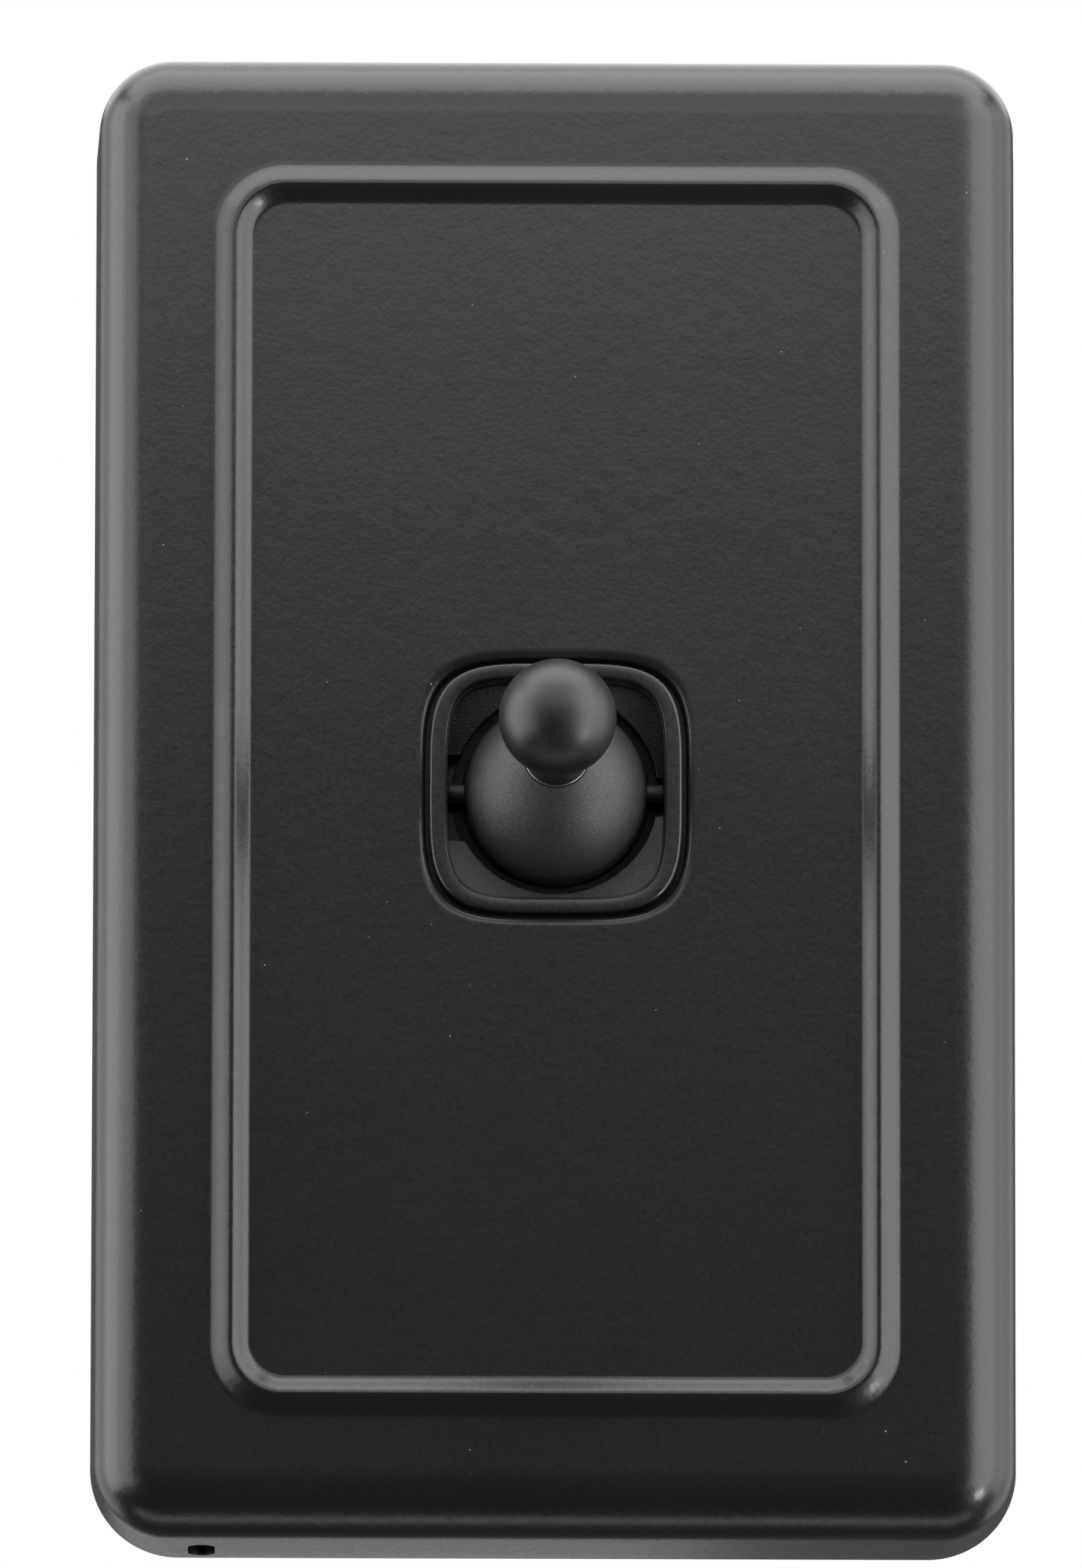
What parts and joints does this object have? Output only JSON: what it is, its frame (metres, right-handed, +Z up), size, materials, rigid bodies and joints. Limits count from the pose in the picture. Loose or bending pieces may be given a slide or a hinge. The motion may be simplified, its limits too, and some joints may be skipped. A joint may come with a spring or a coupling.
{
  "type": "toggle wall switch",
  "caption": "Wall-mounted toggle switch with a rounded black cover plate, raised bead, square collar and ball-ended lever over a snap-action mechanism.",
  "frame": {"origin": "middle of the cover plate's outline on the wall face, where the wall holds the switch", "axes": "+X to the right and +Z up as seen by a person facing the switch, +Y into the wall"},
  "size_m": [0.072, 0.0556, 0.1172],
  "materials": {
    "powder_coat": "satin black powder coat with a very fine orange peel",
    "frame_nylon": "matt black moulded nylon",
    "collar_plastic": "semi-gloss black plastic",
    "moulded_plastic": "fine-grained matt black plastic",
    "zinc_steel": "zinc-plated steel",
    "toggle_black": "sandy matt black",
    "lever_black": "smooth satin black",
    "bright_steel": "bright steel",
    "plunger_nylon": "natural white nylon",
    "contact_silver": "bright contact silver",
    "brass": "plain brass"
  },
  "bodies": {
    "base": {"cover_plate": "powder_coat", "mounting_frame": "frame_nylon", "mounting_screw_top": "zinc_steel", "mounting_screw_bottom": "zinc_steel", "bezel_collar": "collar_plastic", "mechanism_cover": "moulded_plastic", "mechanism_housing": "moulded_plastic", "mechanism_screw_top": "zinc_steel", "mechanism_screw_bottom": "zinc_steel", "body_screw_upper": "zinc_steel", "body_screw_lower": "zinc_steel", "fixed_contact_upper": "contact_silver", "fixed_contact_lower": "contact_silver", "terminal_one": "brass", "terminal_two": "brass", "terminal_common": "brass", "terminal_loop": "brass", "terminal_screw_one": "brass", "terminal_screw_two": "brass", "terminal_screw_common": "brass", "terminal_screw_loop": "brass"},
    "toggle": {"toggle_dome": "toggle_black", "toggle_lever": "lever_black", "pivot_pin_left": "toggle_black", "pivot_pin_right": "toggle_black", "plunger_spring": "bright_steel"},
    "plunger": {"plunger": "plunger_nylon"},
    "rocker": {"rocker_contact": "brass", "moving_contact_upper": "contact_silver", "moving_contact_lower": "contact_silver"}
  },
  "joints": [
    {"name": "toggle_hinge", "type": "hinge", "parent": "base", "child": "toggle", "pos_m": [0, -0.0101, 0], "axis": [1, 0, 0], "range_deg": [0, 28.8]},
    {"name": "contact_hinge", "type": "hinge", "parent": "base", "child": "rocker", "pos_m": [0, -0.0016, 0], "axis": [1, 0, 0], "range_deg": [-12, 0]},
    {"name": "plunger_slide", "type": "slide", "parent": "toggle", "child": "plunger", "axis": [0, -0.9686, 0.2487], "range_m": [0, 0.0006], "stiffness_N_per_m": 600, "springref_m": -0.001, "deforming": ["plunger_spring"]}
  ],
  "couplings": [
    {"joint": "contact_hinge", "follows": "toggle_hinge", "ratio": -0.4166}
  ]
}
